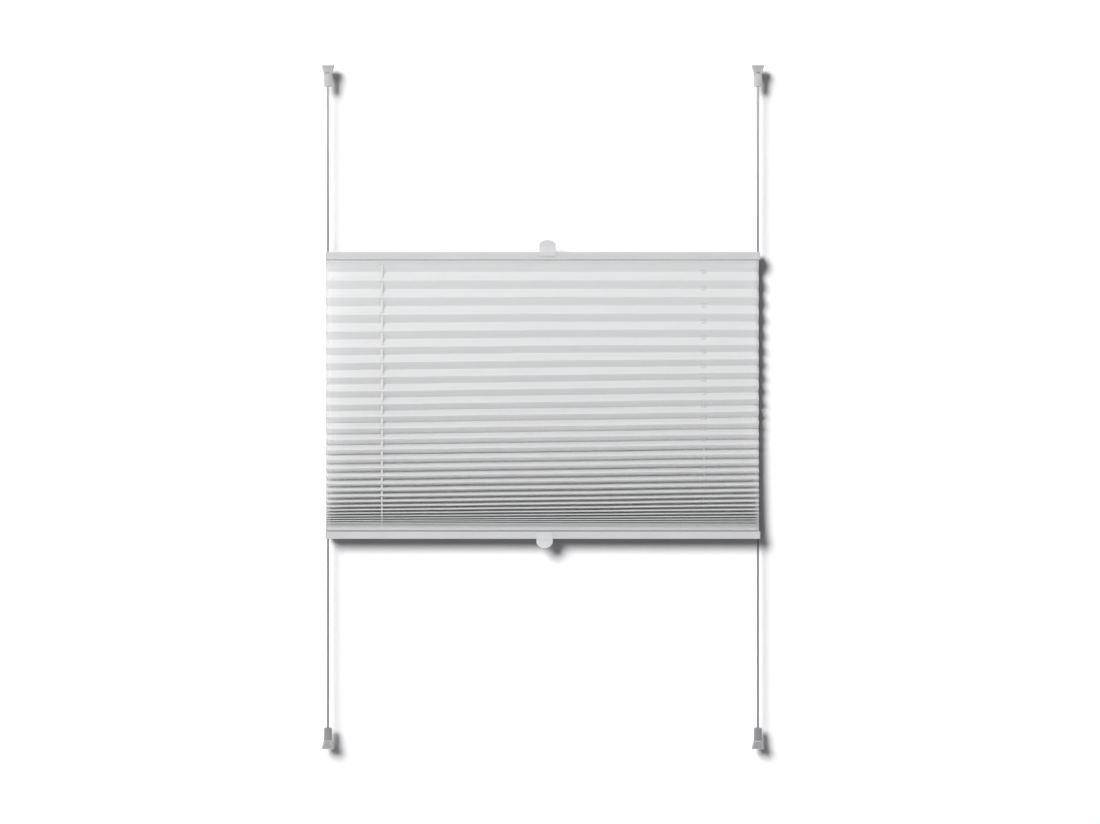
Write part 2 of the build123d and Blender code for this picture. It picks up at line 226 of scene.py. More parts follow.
def braid_tree():
    """A round cord along a line of points, with arcs at the corners, marked along and around itself."""
    tree, given, result = new_tree("braided_cord", [
        ("Line", "Geometry"), ("Radius", "Float"), ("Bend", "Float"), ("Sides", "Int"),
        ("Finish", "Material"),
    ])
    line = step(tree, "GeometryNodeMeshToCurve", given["Line"])
    bent = step(tree, "GeometryNodeFilletCurve", line.outputs[0], mode="POLY")
    bent.inputs["Radius"].default_value = 0
    tree.links.new(given["Bend"], bent.inputs["Radius"])
    bent.inputs["Count"].default_value = 7
    bent.inputs["Limit Radius"].default_value = True
    reach = step(tree, "GeometryNodeSplineParameter")
    marked = step(tree, "GeometryNodeStoreNamedAttribute", bent.outputs[0], data_type="FLOAT", domain="POINT")
    marked.inputs["Name"].default_value = "along"
    tree.links.new(reach.outputs["Length"], marked.inputs["Value"])
    ring = step(tree, "GeometryNodeCurvePrimitiveCircle", mode="RADIUS")
    tree.links.new(given["Sides"], ring.inputs["Resolution"])
    tree.links.new(given["Radius"], ring.inputs["Radius"])
    spot = step(tree, "GeometryNodeInputPosition")
    turned = step(
        tree, "GeometryNodeStoreNamedAttribute", ring.outputs[0], data_type="FLOAT_VECTOR", domain="POINT"
    )
    turned.inputs["Name"].default_value = "around"
    tree.links.new(spot.outputs[0], turned.inputs["Value"])
    tube = step(tree, "GeometryNodeCurveToMesh", marked.outputs[0], turned.outputs[0])
    tube.inputs["Fill Caps"].default_value = True
    soft = step(tree, "GeometryNodeSetShadeSmooth", tube.outputs[0])
    finish_tree(tree, soft.outputs[0], given["Finish"], result)
    return tree


def braid_finish(name, lower_tones, upper_tones):
    """Polyester braid whose strands wind both ways, painted darker in the weave's hollows as painted shade,
    each tone easing from the bottom to the top as painted shade, darker low down.
    """
    material = bpy.data.materials.new(name)
    material.use_nodes = True
    tree = material.node_tree
    shader = tree.nodes["Principled BSDF"]
    shader.inputs["Roughness"].default_value = 0.62
    shader.inputs["Sheen Weight"].default_value = 0.25
    shader.inputs["Sheen Roughness"].default_value = 0.5
    along = step(tree, "ShaderNodeAttribute", attribute_name="along")
    around = step(tree, "ShaderNodeAttribute", attribute_name="around")
    parts = step(tree, "ShaderNodeSeparateXYZ", around.outputs["Vector"])
    angle = step(tree, "ShaderNodeMath", parts.outputs["Y"], parts.outputs["X"], operation="ARCTAN2")
    strands_each_way = 4.0
    phase_per_metre = 5200.0
    wound = step(tree, "ShaderNodeMath", angle.outputs[0], strands_each_way, operation="MULTIPLY")
    lay = step(tree, "ShaderNodeMath", along.outputs["Fac"], phase_per_metre, operation="MULTIPLY")
    left = step(tree, "ShaderNodeMath", wound.outputs[0], lay.outputs[0], operation="ADD")
    right = step(tree, "ShaderNodeMath", wound.outputs[0], lay.outputs[0], operation="SUBTRACT")
    left_wave = step(tree, "ShaderNodeMath", left.outputs[0], operation="SINE")
    right_wave = step(tree, "ShaderNodeMath", right.outputs[0], operation="SINE")
    weave = step(tree, "ShaderNodeMath", left_wave.outputs[0], right_wave.outputs[0], operation="MULTIPLY")
    height = step(tree, "ShaderNodeMath", weave.outputs[0], 0.5, 0.5, operation="MULTIPLY_ADD")
    place = step(tree, "ShaderNodeTexCoord")
    split = step(tree, "ShaderNodeSeparateXYZ", place.outputs["Object"])
    # painted shade: the cord's tones darken from the top towards the bottom
    darkest_z, lightest_z = -1.20, -0.25
    rise = step(tree, "ShaderNodeMapRange", split.outputs["Z"], darkest_z, lightest_z)
    yarn = step(tree, "ShaderNodeMix", data_type="RGBA")
    dark = step(tree, "ShaderNodeMix", data_type="RGBA")
    for mix, low, high in zip((dark, yarn), lower_tones, upper_tones):
        colours = [s for s in mix.inputs if s.enabled]
        tree.links.new(rise.outputs["Result"], colours[0])
        colours[1].default_value = (low, low * 0.985, low * 0.98, 1)
        colours[2].default_value = (high, high * 0.99, high * 0.99, 1)
    # painted shade: darker where the weave lies low, in the hollows between the strands
    worked = step(tree, "ShaderNodeMix", data_type="RGBA")
    sockets = [s for s in worked.inputs if s.enabled]
    tree.links.new(height.outputs[0], sockets[0])
    tree.links.new([s for s in dark.outputs if s.enabled][0], sockets[1])
    tree.links.new([s for s in yarn.outputs if s.enabled][0], sockets[2])
    tree.links.new([s for s in worked.outputs if s.enabled][0], shader.inputs["Base Color"])
    bump = step(tree, "ShaderNodeBump")
    bump.inputs["Distance"].default_value = 0.00012
    tree.links.new(height.outputs[0], bump.inputs["Height"])
    tree.links.new(bump.outputs["Normal"], shader.inputs["Normal"])
    return material


braided_cord = braid_tree()
# one braid in two tones: dark grey outside the pleats, and painted light, a pale tone, where it runs through
# them
grey_braid = braid_finish("cord_braid", (0.014, 0.028), (0.060, 0.100))
pale_braid = braid_finish("cord_braid_in_pleats", (0.80, 0.90), (0.80, 0.90))


def cord_piece(name, side, routes, bend=cord_bend, finish=grey_braid):
    """One stretch of a tension cord. The left cord's routes are turned half round for the right one."""
    points, edges = [], []
    for route in routes:
        first = len(points)
        points += [(side * x, side * y, z) for x, y, z in route]
        edges += [(n, n + 1) for n in range(first, len(points) - 1)]
    values = {"Radius": cord_radius, "Bend": bend, "Sides": 14, "Finish": finish}
    piece = grown(name, braided_cord, values, points, edges)
    return piece


def even_blend(piece, first, second, start_z, end_z, levels=None):
    """Carries a piece between two bodies, with every stretch of its height changing alike."""
    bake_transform(piece, first, second, start=(0, 0, start_z), end=(0, 0, end_z))
    if levels is None:
        levels = [v.co.z for v in piece.data.vertices]
    shares = [(level - start_z) / (end_z - start_z) for level in levels]
    weights = [min(max(share, 0.0), 1.0) for share in shares]
    piece.data.attributes["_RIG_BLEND"].data.foreach_set("value", weights)


for side_name, side in (("left", 1), ("right", -1)):
    cord_node = f"{side_name}_tension_cord"
    doubled = (1, -1)
    bight = [
        (-cord_x - strand_gap, 0, upper_entry_z),
        (-cord_x - hook_gap, 0, hook_z),
        (-cord_x - hook_gap, 0, hook_z + hook_gap),
        (-cord_x + hook_gap, 0, hook_z + hook_gap),
        (-cord_x + hook_gap, 0, hook_z),
        (-cord_x + strand_gap, 0, upper_entry_z),
    ]
    upper = cord_piece(f"{side_name}_cord_upper", side, [bight], hook_gap)
    even_blend(upper, "window_fixings", "upper_rail_set", hook_z, upper_entry_z)

    crossing = [[
        (-cord_x + s * strand_gap, 0, upper_entry_z),
        (-cord_x + s * strand_gap, 0, upper_run_z + s * strand_gap),
        (guide_x + s * strand_gap, guide_y, upper_run_z + s * strand_gap),
        (guide_x + s * strand_gap, guide_y, upper_exit_z),
    ] for s in doubled]
    in_top_rail = cord_piece(f"{side_name}_cord_in_top_rail", side, crossing)
    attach(in_top_rail, "upper_rail_set")

    drop = [[
        (guide_x + s * strand_gap, guide_y, upper_exit_z),
        (guide_x + s * strand_gap, guide_y, meeting_z),
    ] for s in doubled]
    upper_drop = cord_piece(f"{side_name}_cord_through_upper_pleats", side, drop, finish=pale_braid)
    even_blend(upper_drop, "upper_rail_set", "window_fixings", upper_exit_z, meeting_z)

    drop = [[
        (guide_x + s * strand_gap, guide_y, meeting_z),
        (guide_x + s * strand_gap, guide_y, lower_exit_z),
    ] for s in doubled]
    lower_drop = cord_piece(f"{side_name}_cord_through_lower_pleats", side, drop, finish=pale_braid)
    even_blend(lower_drop, "window_fixings", "lower_rail_set", meeting_z, lower_exit_z)

    crossing = [[
        (guide_x + s * strand_gap, guide_y, lower_exit_z),
        (guide_x + s * strand_gap, guide_y, lower_run_z - s * strand_gap),
        (-cord_x + s * strand_gap, 0, lower_run_z - s * strand_gap),
        (-cord_x + s * strand_gap, 0, lower_entry_z),
    ] for s in doubled]
    in_bottom_rail = cord_piece(f"{side_name}_cord_in_bottom_rail", side, crossing)
    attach(in_bottom_rail, "lower_rail_set")

    tail = [[
        (-cord_x + s * strand_gap, 0, lower_entry_z),
        (-cord_x + s * crimp_gap, 0, crimp_z),
    ] for s in doubled]
    lower = cord_piece(f"{side_name}_cord_lower", side, tail)
    even_blend(lower, "lower_rail_set", "window_fixings", lower_entry_z, crimp_z)

    for piece in (upper, in_top_rail, upper_drop, lower_drop, in_bottom_rail, lower):
        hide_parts(cord_node)

# ---- Rails ----------------------------------------------------------------------------------------
# Two lengths of extruded aluminium channel, powder coated in satin white. The coat has a fine orange
# peel, and the die's lines under it show faintly along the rail.
rail_coat = moulded("rail_coat", (0.625, 0.625, 0.627), (0.59, 0.59, 0.595), 0.42, 1.0, 0.000012, patch=9.0)
drawn_out(rail_coat, (260, 900, 900))
coat(rail_coat, "top_rail", "bottom_rail")

# ---- End caps -------------------------------------------------------------------------------------
# Moulded plates that plug into the rails' ends and turn the cords in through an eyelet. They match
# the rails but stay a shade greyer and are grained finer.
cap_plastic = moulded("cap_plastic", (0.53, 0.53, 0.53), (0.50, 0.50, 0.505), 0.46, 2400, 0.00002)
for level in ("top", "bottom"):
    coat(cap_plastic, f"{level}_left_end_cap", f"{level}_right_end_cap")

# ---- Cord guides ----------------------------------------------------------------------------------
# Small slippery blocks of natural acetal in the rails, whose spouts lead the cords down into the
# pleats. The plastic is milky, so light sinks into it a little.
guide_acetal = moulded("guide_acetal", (0.76, 0.75, 0.72), (0.71, 0.70, 0.67), 0.3, 1500, 0.00001, gloss=0.5)
acetal = guide_acetal.node_tree.nodes["Principled BSDF"]
acetal.inputs["Subsurface Weight"].default_value = 0.3
acetal.inputs["Subsurface Radius"].default_value = (0.0012, 0.0011, 0.0009)
for level in ("top", "bottom"):
    coat(guide_acetal, f"{level}_left_cord_guide", f"{level}_right_cord_guide")

# ---- Fabric strips --------------------------------------------------------------------------------
# Flat extruded bars that slide into the rails' slots with the fabric's end faces bonded to them. The
# plastic is plain white, with the long drag marks of extrusion.
strip_light = (0.66, 0.66, 0.655)
strip_dark = (0.61, 0.61, 0.605)
strip_plastic = moulded("strip_plastic", strip_light, strip_dark, 0.5, 1.0, 0.00003, patch=16.0)
drawn_out(strip_plastic, (20, 1400, 1400))
coat(strip_plastic, "top_fabric_strip", "bottom_fabric_strip")

# ---- Pleated fabric -------------------------------------------------------------------------------
# One sheet of white woven polyester, heat set into 20 mm pleats and bonded to the strips by its end
# faces. It hangs loose under the top rail, closes up downwards and stacks on the bottom rail.
pleat_face = 0.020
pleat_count = 35
open_pitch = 0.0318
stack_pitch = 0.0015
closing_pleats = 33
closing_ease = 0.8
first_crease_z = -0.3649
last_crease_z = -0.8576
top_tab_z = -0.35705
bottom_tab_z = -0.8596
tab_back = 0.0070
tab_front = -0.0074
fabric_width = 0.798
fabric_left = -0.4002
cells_across = 80
sheet_thickness = 0.0003
tab_creases = 2
crease_total = 2 * (pleat_count + 1) + 2 * tab_creases
rows_per_face = 9
top_end_faces = 0.0223
bottom_end_faces = 0.0319
left_droop = 0.0054
right_lift = 0.0056
waviness = 0.0012
loop_radius = 0.00054


def pitch(pleat):
    """Height of a pleat before it is scaled to the drop: open first, closing up towards the bottom."""
    swing = (1 + math.cos(math.pi * min(pleat / closing_pleats, 1) ** closing_ease)) / 2
    return stack_pitch + (open_pitch - stack_pitch) * swing


whole_drop = sum(pitch(pleat) for pleat in range(pleat_count)) + stack_pitch / 2
pitch_scale = (first_crease_z - last_crease_z) / whole_drop


def reckon(tree, operation, *values):
    """The outcome of one sum in a geometry tree."""
    return step(tree, "ShaderNodeMath", *values, operation=operation).outputs[0]


def between(tree, value, low, high, to_low=0.0, to_high=1.0, smooth=True):
    """Eases from one number to another as a value runs from low to high."""
    kind = "SMOOTHSTEP" if smooth else "LINEAR"
    eased = step(tree, "ShaderNodeMapRange", value, low, high, to_low, to_high, interpolation_type=kind)
    return eased.outputs[0]


def crease_line(tree, given):
    """Loose points at the creases, down the middle of the sheet, with the end faces' own creases."""
    points = step(tree, "GeometryNodeMeshLine")
    points.inputs["Count"].default_value = crease_total
    index = step(tree, "GeometryNodeInputIndex").outputs[0]
    number = reckon(tree, "SUBTRACT", index, tab_creases)
    pleat = reckon(tree, "FLOOR", reckon(tree, "DIVIDE", number, 2.0))
    place = reckon(tree, "DIVIDE", reckon(tree, "MAXIMUM", pleat, 0.0), given["Closing Pleats"])
    eased = reckon(tree, "POWER", reckon(tree, "MINIMUM", place, 1.0), closing_ease)
    turn = reckon(tree, "MULTIPLY", eased, math.pi)
    swing = reckon(tree, "MULTIPLY_ADD", reckon(tree, "COSINE", turn), 0.5, 0.5)
    spread = reckon(tree, "SUBTRACT", given["Open Pitch"], given["Stack Pitch"])
    height = reckon(tree, "MULTIPLY_ADD", spread, swing, given["Stack Pitch"])
    half_height = reckon(tree, "MULTIPLY", reckon(tree, "MULTIPLY", height, given["Pitch Scale"]), 0.5)
    hanging = reckon(tree, "GREATER_THAN", number, -0.5)
    fallen = step(tree, "GeometryNodeAccumulateField", reckon(tree, "MULTIPLY", half_height, hanging))
    level = reckon(tree, "SUBTRACT", given["First Crease"], fallen.outputs["Trailing"])
    squares = [reckon(tree, "POWER", length, 2.0) for length in (given["Face"], half_height)]
    square = reckon(tree, "SUBTRACT", *squares)
    depth = reckon(tree, "MULTIPLY", reckon(tree, "SQRT", square), 0.5)
    odd = reckon(tree, "FLOORED_MODULO", number, 2.0)
    facing = reckon(tree, "SUBTRACT", reckon(tree, "MULTIPLY", odd, 2.0), 1.0)
    hung = step(tree, "ShaderNodeCombineXYZ", 0.0, reckon(tree, "MULTIPLY", depth, facing), level).outputs[0]
    tab_step = tab_front - tab_back
    top_y = reckon(tree, "MULTIPLY_ADD", index, tab_step, tab_back)
    top = step(tree, "ShaderNodeCombineXYZ", 0.0, top_y, top_tab_z).outputs[0]
    after = reckon(tree, "SUBTRACT", index, float(crease_total - tab_creases))
    bottom_y = reckon(tree, "MULTIPLY_ADD", after, -tab_step, tab_front)
    bottom = step(tree, "ShaderNodeCombineXYZ", 0.0, bottom_y, bottom_tab_z).outputs[0]
    in_top = reckon(tree, "LESS_THAN", index, tab_creases - 0.5)
    in_bottom = reckon(tree, "GREATER_THAN", after, -0.5)
    upper = step(tree, "GeometryNodeSwitch", in_top, hung, top, input_type="VECTOR").outputs[0]
    spot = step(tree, "GeometryNodeSwitch", in_bottom, upper, bottom, input_type="VECTOR").outputs[0]
    placed = step(tree, "GeometryNodeSetPosition", points.outputs[0])
    tree.links.new(spot, placed.inputs["Position"])
    return placed.outputs[0]


def pick(tree, place, values):
    """The value that stands at a whole-numbered place in a list."""
    choice = step(tree, "GeometryNodeIndexSwitch", data_type="FLOAT")
    while len(choice.index_switch_items) < len(values):
        choice.index_switch_items.new()
    tree.links.new(place, choice.inputs["Index"])
    for socket, value in zip([s for s in choice.inputs if s.name.isdigit()], values):
        if isinstance(value, float):
            socket.default_value = value
        else:
            tree.links.new(value, socket)
    return choice.outputs[0]


def half_drop(tree, upper, lower):
    """How far one crease lies below another."""
    levels = [step(tree, "ShaderNodeSeparateXYZ", crease).outputs["Z"] for crease in (upper, lower)]
    return reckon(tree, "SUBTRACT", *levels)


def pleat_tree():
    """A run of pleats between two creases: one grid, with rows close together at creases and holes."""
    tree, given, result = new_tree("pleated_sheet", [
        ("Seed", "Geometry"), ("First Face", "Int"), ("Faces", "Int"), ("Across", "Int"), ("Left", "Float"),
        ("Width", "Float"), ("Face", "Float"), ("Open Pitch", "Float"), ("Stack Pitch", "Float"),
        ("Closing Pleats", "Float"), ("Pitch Scale", "Float"), ("First Crease", "Float"),
        ("Last Crease", "Float"),
        ("Hole X", "Float"), ("Hole Y", "Float"), ("Left Nudge", "Float"), ("Right Nudge", "Float"),
        ("Left Droop", "Float"), ("Right Lift", "Float"), ("Waviness", "Float"), ("Loop", "Float"),
        ("Finish", "Material"),
    ])
    creases = crease_line(tree, given)
    rows = reckon(tree, "MULTIPLY", given["Faces"], float(rows_per_face))
    grid = step(tree, "GeometryNodeMeshGrid", 1.0, rows, reckon(tree, "ADD", given["Across"], 1.0),
                reckon(tree, "ADD", rows, 1.0))
    flat = step(tree, "ShaderNodeSeparateXYZ", step(tree, "GeometryNodeInputPosition").outputs[0])
    middle = reckon(tree, "MULTIPLY_ADD", rows, 0.5, flat.outputs["Y"])
    row = reckon(tree, "ROUND", middle)
    row_share = reckon(tree, "DIVIDE", reckon(tree, "ADD", row, 0.01), float(rows_per_face))
    face_here = reckon(tree, "FLOOR", row_share)
    row_in_face = reckon(tree, "SUBTRACT", row, reckon(tree, "MULTIPLY", face_here, float(rows_per_face)))
    face = reckon(tree, "ADD", face_here, given["First Face"])

    corners = []
    for shift in (-1.0, 0.0, 1.0):
        wanted = reckon(tree, "ADD", face, shift)
        wanted = reckon(tree, "MAXIMUM", reckon(tree, "MINIMUM", wanted, float(crease_total - 1)), 0.0)
        spot = step(tree, "GeometryNodeInputPosition").outputs[0]
        sample = step(tree, "GeometryNodeSampleIndex", creases, data_type="FLOAT_VECTOR", domain="POINT")
        tree.links.new(spot, [s for s in sample.inputs if s.enabled and s.name == "Value"][0])
        tree.links.new(wanted, sample.inputs["Index"])
        corners.append([s for s in sample.outputs if s.enabled][0])
    before, here, beyond = corners

    # where the cords pass through this face, as shares of its depth
    depths = [step(tree, "ShaderNodeSeparateXYZ", corner).outputs["Y"] for corner in (here, beyond)]
    least_span = 0.012
    span = reckon(tree, "MAXIMUM", reckon(tree, "ABSOLUTE", reckon(tree, "SUBTRACT", *depths)), least_span)
    near_hole = reckon(tree, "SUBTRACT", 0.5, reckon(tree, "DIVIDE", given["Hole Y"], span))
    least_share, most_share = 0.172, 0.4
    near_hole = reckon(tree, "MAXIMUM", reckon(tree, "MINIMUM", near_hole, most_share), least_share)
    hole_room = 0.08
    soft_share = 0.06
    flat_share = 0.088
    shares = [
        0.0,
        soft_share,
        flat_share,
        reckon(tree, "SUBTRACT", near_hole, hole_room),
        reckon(tree, "ADD", near_hole, hole_room),
        reckon(tree, "SUBTRACT", 1.0 - hole_room, near_hole),
        reckon(tree, "SUBTRACT", 1.0 + hole_room, near_hole),
        1.0 - flat_share,
        1.0 - soft_share,
    ]
    share = pick(tree, row_in_face, shares)

    # where the pleats lie close, the cloth turns in a rounder loop at each crease
    turned = reckon(tree, "MULTIPLY", half_drop(tree, here, beyond), soft_share)
    loop = reckon(tree, "MAXIMUM", reckon(tree, "SUBTRACT", given["Loop"], turned), 0.0)
    bulge = pick(tree, row_in_face, [0.0, -1.0, -0.8, 0.0, 0.0, 0.0, 0.0, 0.8, 1.0])
    swelled = reckon(tree, "MULTIPLY", bulge, loop)

    # flat within a face, and drawn in a little at a crease so that it turns softly
    on_face = step(tree, "ShaderNodeMix", data_type="VECTOR")
    sockets = [s for s in on_face.inputs if s.enabled]
    tree.links.new(share, sockets[0])
    tree.links.new(here, sockets[1])
    tree.links.new(beyond, sockets[2])
    on_face = [s for s in on_face.outputs if s.enabled][0]
    both = step(tree, "ShaderNodeVectorMath", before, beyond, operation="ADD").outputs[0]
    twice = step(tree, "ShaderNodeVectorMath", here, operation="SCALE")
    twice.inputs["Scale"].default_value = 2.0
    inward = step(tree, "ShaderNodeVectorMath", both, twice.outputs[0], operation="SUBTRACT").outputs[0]
    pulled = step(tree, "ShaderNodeVectorMath", inward, operation="SCALE")
    pulled.inputs["Scale"].default_value = soft_share / 4
    at_crease = step(tree, "ShaderNodeVectorMath", here, pulled.outputs[0], operation="ADD").outputs[0]
    is_crease = reckon(tree, "LESS_THAN", row_in_face, 0.5)
    section = step(tree, "GeometryNodeSwitch", is_crease, on_face, at_crease, input_type="VECTOR").outputs[0]
    section = step(tree, "ShaderNodeSeparateXYZ", section)
    depth, level = section.outputs["Y"], section.outputs["Z"]
    hang = reckon(tree, "ADD", level, swelled)

    # columns, moved a little so that one of them is centred on each row of cord holes
    from_left = reckon(tree, "ADD", flat.outputs["X"], 0.5)
    across = reckon(tree, "MULTIPLY_ADD", from_left, given["Width"], given["Left"])
    far = 0.05
    close = 0.008
    for sign, nudge in ((-1.0, "Left Nudge"), (1.0, "Right Nudge")):
        gap = reckon(tree, "ABSOLUTE", reckon(tree, "MULTIPLY_ADD", given["Hole X"], -sign, across))
        across = reckon(tree, "MULTIPLY_ADD", between(tree, gap, far, close), given[nudge], across)

    # the set of the hung cloth: lower at the left, higher at the right, level where the rails hold it
    side = reckon(tree, "DIVIDE", across, reckon(tree, "MULTIPLY", given["Width"], 0.5))
    droop_from, droop_full = -0.365, -0.56
    lift_from, lift_full = -0.488, -0.602
    droop = reckon(tree, "MULTIPLY", between(tree, level, droop_from, droop_full), given["Left Droop"])
    lift = reckon(tree, "MULTIPLY", between(tree, level, lift_from, lift_full), given["Right Lift"])
    is_right = reckon(tree, "GREATER_THAN", side, 0.0)
    swing = step(tree, "GeometryNodeSwitch", is_right, droop, lift, input_type="FLOAT").outputs[0]
    swing = reckon(tree, "MULTIPLY", side, swing)
    rail_holds_to, loose_from, loose_to = -0.366, -0.39, -0.80
    held_above = between(tree, level, rail_holds_to, loose_from)
    held_below = between(tree, level, given["Last Crease"], loose_to)
    loose = reckon(tree, "MULTIPLY", held_above, held_below)
    spread = step(tree, "ShaderNodeCombineXYZ", reckon(tree, "MULTIPLY", across, 5.5), 0.0,
                  reckon(tree, "MULTIPLY", level, 13.0)).outputs[0]
    waves = step(tree, "ShaderNodeTexNoise", spread)
    waves.inputs["Scale"].default_value = 1.0
    waves.inputs["Detail"].default_value = 1.0
    ripple = reckon(tree, "MULTIPLY", reckon(tree, "SUBTRACT", waves.outputs[0], 0.5), given["Waviness"])
    moved = reckon(tree, "MULTIPLY", reckon(tree, "ADD", swing, ripple), held_below)
    level = reckon(tree, "ADD", level, reckon(tree, "MULTIPLY", moved, held_above))

    # a faint bow within each face, different along it and from pleat to pleat
    bow_place = step(tree, "ShaderNodeCombineXYZ", reckon(tree, "MULTIPLY", across, 8.0),
                     reckon(tree, "MULTIPLY", face, 3.7), 0.0).outputs[0]
    bows = step(tree, "ShaderNodeTexNoise", bow_place)
    bows.inputs["Scale"].default_value = 1.0
    bows.inputs["Detail"].default_value = 0.0
    belly = reckon(tree, "SINE", reckon(tree, "MULTIPLY", share, math.pi))
    bow = reckon(tree, "MULTIPLY", reckon(tree, "SUBTRACT", bows.outputs[0], 0.5), belly)
    bow = reckon(tree, "MULTIPLY", reckon(tree, "MULTIPLY", bow, given["Waviness"]), loose)
    bowed_level = reckon(tree, "ADD", reckon(tree, "MULTIPLY_ADD", bow, 0.6, level), swelled)

    spot = step(tree, "ShaderNodeCombineXYZ", across, depth, bowed_level).outputs[0]
    cloth = step(tree, "ShaderNodeCombineXYZ", across,
                 reckon(tree, "MULTIPLY", reckon(tree, "ADD", face, share), given["Face"]), share).outputs[0]
    stored = "GeometryNodeStoreNamedAttribute"
    named = step(tree, stored, grid.outputs[0], data_type="FLOAT_VECTOR", domain="POINT")
    named.inputs["Name"].default_value = "cloth"
    tree.links.new(cloth, named.inputs["Value"])
    hung = step(tree, stored, named.outputs[0], data_type="FLOAT", domain="POINT")
    hung.inputs["Name"].default_value = "hang"
    tree.links.new(hang, hung.inputs["Value"])
    shaped = step(tree, "GeometryNodeSetPosition", hung.outputs[0])
    tree.links.new(spot, shaped.inputs["Position"])
    soft = step(tree, "GeometryNodeSetShadeSmooth", shaped.outputs[0])
    finish_tree(tree, soft.outputs[0], given["Finish"], result)
    return tree


def cloth_finish():
    """White plain-woven polyester: threads both ways, faint slubs across and painted shade, a slightly darker
    line, at each fold.
    """
    material = bpy.data.materials.new("pleat_fabric")
    material.use_nodes = True
    tree = material.node_tree
    shader = tree.nodes["Principled BSDF"]
    shader.inputs["Roughness"].default_value = 0.85
    shader.inputs["Specular IOR Level"].default_value = 0.15
    shader.inputs["Sheen Weight"].default_value = 0.15
    shader.inputs["Sheen Roughness"].default_value = 0.4
    cloth = step(tree, "ShaderNodeAttribute", attribute_name="cloth")
    parts = step(tree, "ShaderNodeSeparateXYZ", cloth.outputs["Vector"])
    thread_pitch = 0.0005
    thread_turns = 2 * math.pi / thread_pitch
    warp = step(tree, "ShaderNodeMath", parts.outputs["X"], thread_turns, operation="MULTIPLY")
    weft = step(tree, "ShaderNodeMath", parts.outputs["Y"], thread_turns, operation="MULTIPLY")
    warp = step(tree, "ShaderNodeMath", warp.outputs[0], operation="SINE")
    weft = step(tree, "ShaderNodeMath", weft.outputs[0], operation="SINE")
    threads = step(tree, "ShaderNodeMath", warp.outputs[0], weft.outputs[0], operation="MULTIPLY")
    bump = step(tree, "ShaderNodeBump")
    bump.inputs["Strength"].default_value = 0.5
    bump.inputs["Distance"].default_value = 0.00003
    tree.links.new(threads.outputs[0], bump.inputs["Height"])
    tree.links.new(bump.outputs["Normal"], shader.inputs["Normal"])
    slub_place = step(tree, "ShaderNodeMapping", cloth.outputs["Vector"])
    slub_place.inputs["Scale"].default_value = (14, 420, 0)
    slubs = step(tree, "ShaderNodeTexNoise", slub_place.outputs[0])
    slubs.inputs["Scale"].default_value = 1.0
    slubs.inputs["Detail"].default_value = 3.0
    tones = step(tree, "ShaderNodeValToRGB")
    tones.color_ramp.elements[0].position = 0.3
    tones.color_ramp.elements[0].color = (0.94, 0.94, 0.94, 1)
    tones.color_ramp.elements[1].position = 0.7
    tones.color_ramp.elements[1].color = (0.97, 0.97, 0.967, 1)
    tree.links.new(slubs.outputs[0], tones.inputs["Fac"])
    # painted shade: the colour darkens a little along each crease
    off_middle = step(tree, "ShaderNodeMath", parts.outputs["Z"], 0.5, operation="SUBTRACT")
    off_middle = step(tree, "ShaderNodeMath", off_middle.outputs[0], operation="ABSOLUTE")
    line_from, crease, plain, crease_shade_tone = 0.46, 0.5, 1.0, 0.97
    crease_shade = step(tree, "ShaderNodeMapRange", off_middle.outputs[0], line_from, crease, plain, crease_shade_tone)
    shaded = step(tree, "ShaderNodeVectorMath", tones.outputs["Color"], operation="SCALE")
    tree.links.new(crease_shade.outputs["Result"], shaded.inputs["Scale"])
    tree.links.new(shaded.outputs[0], shader.inputs["Base Color"])
    glow = step(tree, "ShaderNodeBsdfTranslucent")
    tree.links.new(shaded.outputs[0], glow.inputs["Color"])
    tree.links.new(bump.outputs["Normal"], glow.inputs["Normal"])
    light_through = 0.3
    mixed = step(tree, "ShaderNodeMixShader", light_through, shader.outputs[0], glow.outputs[0])
    tree.links.new(mixed.outputs[0], tree.nodes["Material Output"].inputs["Surface"])
    return material


def punch_cord_holes(piece):
    """Opens an oval, hemmed by the cut cloth alone, in each cell that a cord passes through."""
    sheet = bmesh.new()
    sheet.from_mesh(piece.data)
    cloth = sheet.verts.layers.float_vector["cloth"]
    hang = sheet.verts.layers.float["hang"]
    hole_half = Vector((0.0018, 0.00095))
    near_x, near_y = 0.002, 0.0015
    most_of_cell = 0.44
    cells = []
    for cell in sheet.faces:
        middle = cell.calc_center_median()
        for sign in (1, -1):
            if abs(middle.x - sign * guide_x) < near_x and abs(middle.y - sign * guide_y) < near_y:
                cells.append(cell)
    for cell in cells:
        corners = list(cell.verts)
        across = max(v.co.x for v in corners) - min(v.co.x for v in corners)
        deep = max(v.co.y for v in corners) - min(v.co.y for v in corners)
        reach_x = hole_half.x / across
        reach_y = min(hole_half.y / deep, most_of_cell)
        first_edge_runs_across = abs(corners[1].co.x - corners[0].co.x) > across / 2
        if not first_edge_runs_across:
            reach_x, reach_y = reach_y, reach_x
        ring = []
        for turn in range(12):
            angle = math.radians(225 + 30 * turn)
            s, t = 0.5 + reach_x * math.cos(angle), 0.5 + reach_y * math.sin(angle)
            weights = ((1 - s) * (1 - t), s * (1 - t), s * t, (1 - s) * t)
            point = sheet.verts.new(sum((v.co * w for v, w in zip(corners, weights)), Vector()))
            point[cloth] = sum((v[cloth] * w for v, w in zip(corners, weights)), Vector())
            point[hang] = sum(v[hang] * w for v, w in zip(corners, weights))
            ring.append(point)
        sheet.faces.remove(cell)
        for corner in range(4):
            start = 3 * corner
            around = [ring[(start + n) % 12] for n in range(4)]
            sheet.faces.new((corners[corner], around[1], around[0])).smooth = True
            sheet.faces.new((corners[corner], corners[(corner + 1) % 4], around[2], around[1])).smooth = True
            sheet.faces.new((corners[(corner + 1) % 4], around[3], around[2])).smooth = True
    sheet.to_mesh(piece.data)
    sheet.free()
    return len(cells)


cell_width = fabric_width / cells_across


